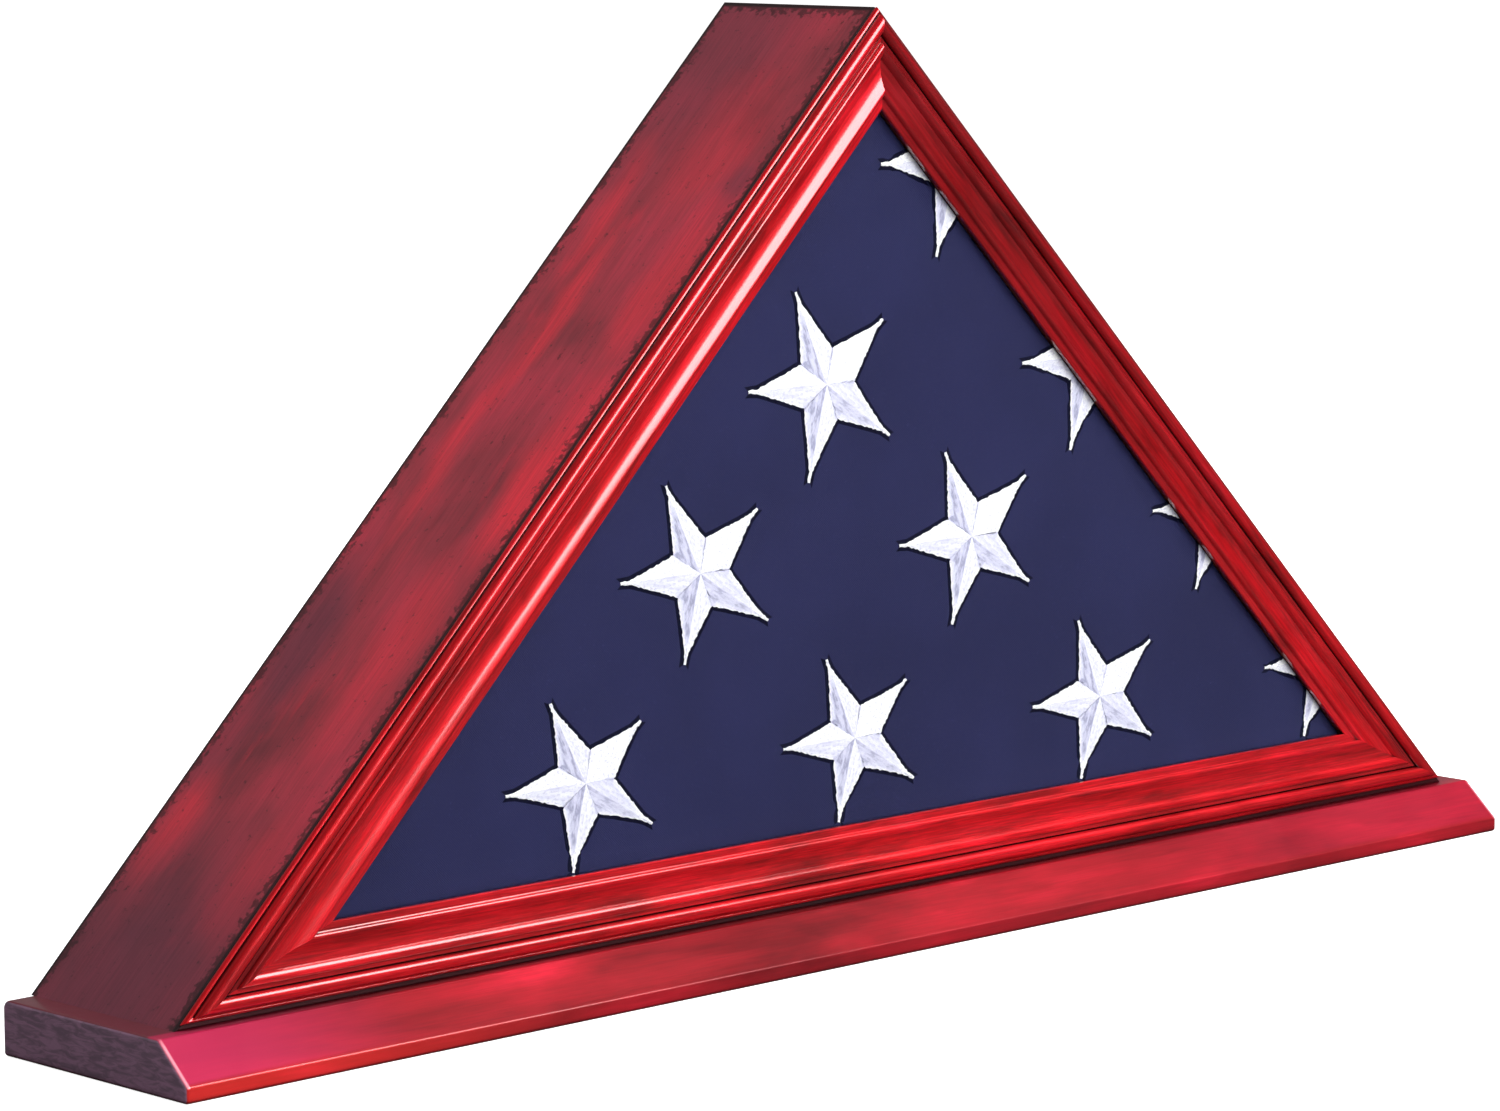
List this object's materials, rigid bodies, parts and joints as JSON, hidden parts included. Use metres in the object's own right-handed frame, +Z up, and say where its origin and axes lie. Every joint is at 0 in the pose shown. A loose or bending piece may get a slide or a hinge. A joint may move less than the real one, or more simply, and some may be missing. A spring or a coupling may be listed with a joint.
{
  "type": "folded flag display case",
  "caption": "Triangular wooden wall of boards on a bevelled plinth, with a moulded glazed front frame, a folded flag inside and a lift-out back panel held by turn buttons.",
  "frame": {"origin": "centre of the underside's bounding box, on the surface that the case stands on", "axes": "+X to the right along the plinth, +Y from the glass towards the back panel, +Z up"},
  "size_m": [0.662, 0.1016, 0.339],
  "materials": {
    "plinth_stain": "gloss",
    "board_stain": "satin",
    "rail_stain": "gloss",
    "strip_wood": "matte",
    "panel_board": "matte",
    "pane": "clear",
    "navy_cotton": "matte",
    "zinc_steel": "satin",
    "plain_steel": "satin"
  },
  "bodies": {
    "case": {"base_plinth": "plinth_stain", "bottom_board": "board_stain", "left_side_board": "board_stain", "right_side_board": "board_stain", "bottom_frame_rail": "rail_stain", "left_frame_rail": "rail_stain", "right_frame_rail": "rail_stain", "window_pane": "pane", "bottom_glazing_strip": "strip_wood", "left_glazing_strip": "strip_wood", "right_glazing_strip": "strip_wood", "glazing_brads": "plain_steel", "mitre_v_nails": "plain_steel", "plinth_screws": "zinc_steel", "button_screws": "zinc_steel", "folded_flag": "navy_cotton"},
    "panel": {"back_panel": "panel_board"},
    "bottom_left_latch": {"bottom_left_button": "zinc_steel"},
    "bottom_right_latch": {"bottom_right_button": "zinc_steel"},
    "right_lower_latch": {"right_lower_button": "zinc_steel"},
    "right_upper_latch": {"right_upper_button": "zinc_steel"},
    "left_upper_latch": {"left_upper_button": "zinc_steel"},
    "left_lower_latch": {"left_lower_button": "zinc_steel"}
  },
  "joints": [
    {"name": "back_panel_slide", "type": "slide", "parent": "case", "child": "panel", "axis": [0, 1, 0], "range_m": [0, 0.12]},
    {"name": "bottom_left_button_turn", "type": "hinge", "parent": "case", "child": "bottom_left_latch", "pos_m": [-0.15, 0.0485, 0.0232], "axis": [0, 1, 0], "range_deg": [0, 90]},
    {"name": "bottom_right_button_turn", "type": "hinge", "parent": "case", "child": "bottom_right_latch", "pos_m": [0.15, 0.0485, 0.0232], "axis": [0, 1, 0], "range_deg": [0, 90]},
    {"name": "right_lower_button_turn", "type": "hinge", "parent": "case", "child": "right_lower_latch", "pos_m": [0.23128, 0.0485, 0.10178], "axis": [0, 1, 0], "range_deg": [0, 90]},
    {"name": "right_upper_button_turn", "type": "hinge", "parent": "case", "child": "right_upper_latch", "pos_m": [0.08278, 0.0485, 0.25028], "axis": [0, 1, 0], "range_deg": [0, 90]},
    {"name": "left_upper_button_turn", "type": "hinge", "parent": "case", "child": "left_upper_latch", "pos_m": [-0.08278, 0.0485, 0.25028], "axis": [0, 1, 0], "range_deg": [0, 90]},
    {"name": "left_lower_button_turn", "type": "hinge", "parent": "case", "child": "left_lower_latch", "pos_m": [-0.23128, 0.0485, 0.10178], "axis": [0, 1, 0], "range_deg": [0, 90]}
  ]
}
